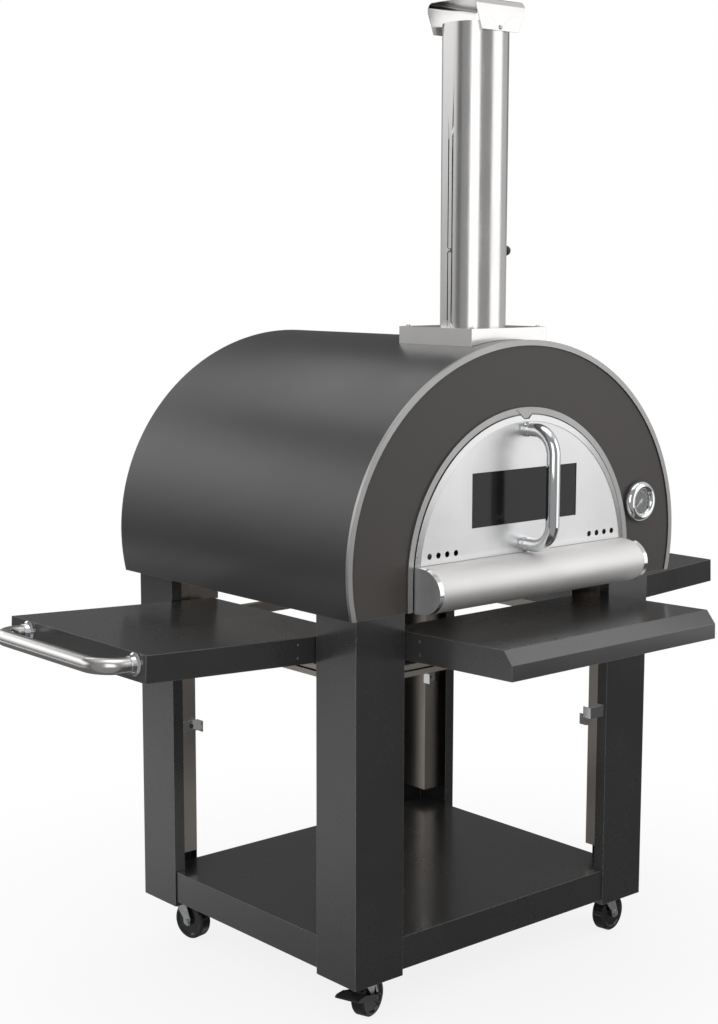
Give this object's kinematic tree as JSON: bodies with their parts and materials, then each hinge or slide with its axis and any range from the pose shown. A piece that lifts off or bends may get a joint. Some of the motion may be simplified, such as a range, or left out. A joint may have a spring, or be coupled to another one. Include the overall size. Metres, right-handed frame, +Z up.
{
  "type": "wood fired pizza oven",
  "caption": "Free-standing wood fired pizza oven: insulated arched body with a lift-off glazed door, chimney with damper, side and front tables, storage shelf and a cart on braked casters.",
  "frame": {"origin": "on the floor, in the middle of the overall footprint (left handle to right table, front table to rear panel)", "axes": "+Z up; -Y is the front with the door; +X is the right-hand side seen from the front"},
  "size_m": [1.5664, 0.9302, 1.841],
  "materials": {
    "charcoal_paint": "semi-gloss charcoal powder coat",
    "body_paint": "satin charcoal powder coat",
    "panel_paint": "satin brown-grey paint",
    "brushed_stainless": "brushed",
    "satin_stainless": "satin, faint grain",
    "bright_stainless": "polished",
    "satin_trim": "satin",
    "satin_tube": "fine brushed",
    "bare_stainless": "mill finish",
    "polished_chrome": "mirror polish",
    "zinc": "zinc plated",
    "wheel_black": "glossy moulded",
    "black_plastic": "moulded",
    "smoked_glass": "dark tinted",
    "clear_glass": "clear",
    "dial_black": "printed dial",
    "pointer_white": "satin",
    "firebrick": "rough fired clay",
    "ceramic_fibre": "loose blanket"
  },
  "bodies": {
    "cart": {"base_pan": "bare_stainless", "bottom_shelf": "charcoal_paint", "cart_screws": "charcoal_paint", "caster_fasteners": "zinc", "caster_top_plates": "zinc", "chimney_screws": "zinc", "console": "satin_stainless", "console_caps": "bright_stainless", "flue_box": "brushed_stainless", "flue_cap": "brushed_stainless", "flue_collar": "bare_stainless", "flue_pipe": "brushed_stainless", "front_edge_trim": "satin_trim", "front_panel": "panel_paint", "front_table": "charcoal_paint", "gauge_dial": "dial_black", "gauge_glass": "clear_glass", "gauge_housing": "polished_chrome", "gauge_stem": "bare_stainless", "hearth_stones": "firebrick", "hearth_tray": "bare_stainless", "inner_dome": "bare_stainless", "insulation": "ceramic_fibre", "left_table": "charcoal_paint", "leg_columns": "bare_stainless", "leg_covers": "charcoal_paint", "leg_end_plates": "bare_stainless", "mouth_sill": "bright_stainless", "opening_trim": "satin_trim", "outer_shell": "body_paint", "rear_panel": "body_paint", "right_table": "charcoal_paint", "support_brackets": "bare_stainless", "table_grip": "satin_tube", "table_grip_flanges": "polished_chrome", "tie_rails": "bare_stainless", "tool_hooks": "bright_stainless"},
    "caster_front_left": {"caster_fork_front_left": "zinc"},
    "wheel_front_left": {"caster_wheel_front_left": "wheel_black"},
    "pedal_front_left": {"brake_pedal_front_left": "black_plastic"},
    "caster_front_right": {"caster_fork_front_right": "zinc"},
    "wheel_front_right": {"caster_wheel_front_right": "wheel_black"},
    "caster_rear_left": {"caster_fork_rear_left": "zinc"},
    "wheel_rear_left": {"caster_wheel_rear_left": "wheel_black"},
    "caster_rear_right": {"caster_fork_rear_right": "zinc"},
    "wheel_rear_right": {"caster_wheel_rear_right": "wheel_black"},
    "pedal_rear_right": {"brake_pedal_rear_right": "black_plastic"},
    "door": {"door_glass": "smoked_glass", "door_handle": "polished_chrome", "door_handle_bolts": "zinc", "door_handle_flanges": "polished_chrome", "door_insulation": "ceramic_fibre", "door_plug": "bare_stainless", "door_rim": "bright_stainless", "door_skin": "brushed_stainless", "window_clips": "bare_stainless"},
    "damper": {"damper_plate": "bare_stainless", "damper_rod": "bright_stainless", "damper_knob": "black_plastic"},
    "pointer": {"gauge_pointer": "pointer_white"}
  },
  "joints": [
    {"name": "swivel_front_left", "type": "hinge", "parent": "cart", "child": "caster_front_left", "pos_m": [-0.28573, -0.14836, 0.084], "axis": [0, 0, 1], "continuous": true},
    {"name": "spin_front_left", "type": "hinge", "parent": "caster_front_left", "child": "wheel_front_left", "pos_m": [-0.26005, -0.14002, 0.0375], "axis": [-0.309, 0.9511, 0], "continuous": true},
    {"name": "brake_front_left", "type": "hinge", "parent": "caster_front_left", "child": "pedal_front_left", "pos_m": [-0.26005, -0.14002, 0.0375], "axis": [0.309, -0.9511, 0], "range_deg": [0, 12]},
    {"name": "swivel_front_right", "type": "hinge", "parent": "cart", "child": "caster_front_right", "pos_m": [0.37227, -0.14836, 0.084], "axis": [0, 0, 1], "continuous": true},
    {"name": "spin_front_right", "type": "hinge", "parent": "caster_front_right", "child": "wheel_front_right", "pos_m": [0.39901, -0.14461, 0.0375], "axis": [-0.1392, 0.9903, 0], "continuous": true},
    {"name": "swivel_rear_left", "type": "hinge", "parent": "cart", "child": "caster_rear_left", "pos_m": [-0.28573, 0.40464, 0.084], "axis": [0, 0, 1], "continuous": true},
    {"name": "spin_rear_left", "type": "hinge", "parent": "caster_rear_left", "child": "wheel_rear_left", "pos_m": [-0.28058, 0.37813, 0.0375], "axis": [0.9816, 0.1908, 0], "continuous": true},
    {"name": "swivel_rear_right", "type": "hinge", "parent": "cart", "child": "caster_rear_right", "pos_m": [0.37227, 0.40464, 0.084], "axis": [0, 0, 1], "continuous": true},
    {"name": "spin_rear_right", "type": "hinge", "parent": "caster_rear_right", "child": "wheel_rear_right", "pos_m": [0.39466, 0.41973, 0.0375], "axis": [-0.5592, 0.829, 0], "continuous": true},
    {"name": "brake_rear_right", "type": "hinge", "parent": "caster_rear_right", "child": "pedal_rear_right", "pos_m": [0.39466, 0.41973, 0.0375], "axis": [0.5592, -0.829, 0], "range_deg": [0, 12]},
    {"name": "door_lift_off", "type": "slide", "parent": "cart", "child": "door", "axis": [0, -1, 0], "range_m": [0, 0.3]},
    {"name": "damper_turn", "type": "hinge", "parent": "cart", "child": "damper", "pos_m": [0.04327, -0.08886, 1.393], "axis": [1, 0, 0], "range_deg": [0, 90]},
    {"name": "pointer_turn", "type": "hinge", "parent": "cart", "child": "pointer", "pos_m": [0.36697, -0.23386, 0.9077], "axis": [0, 1, 0], "range_deg": [0, 260]}
  ]
}
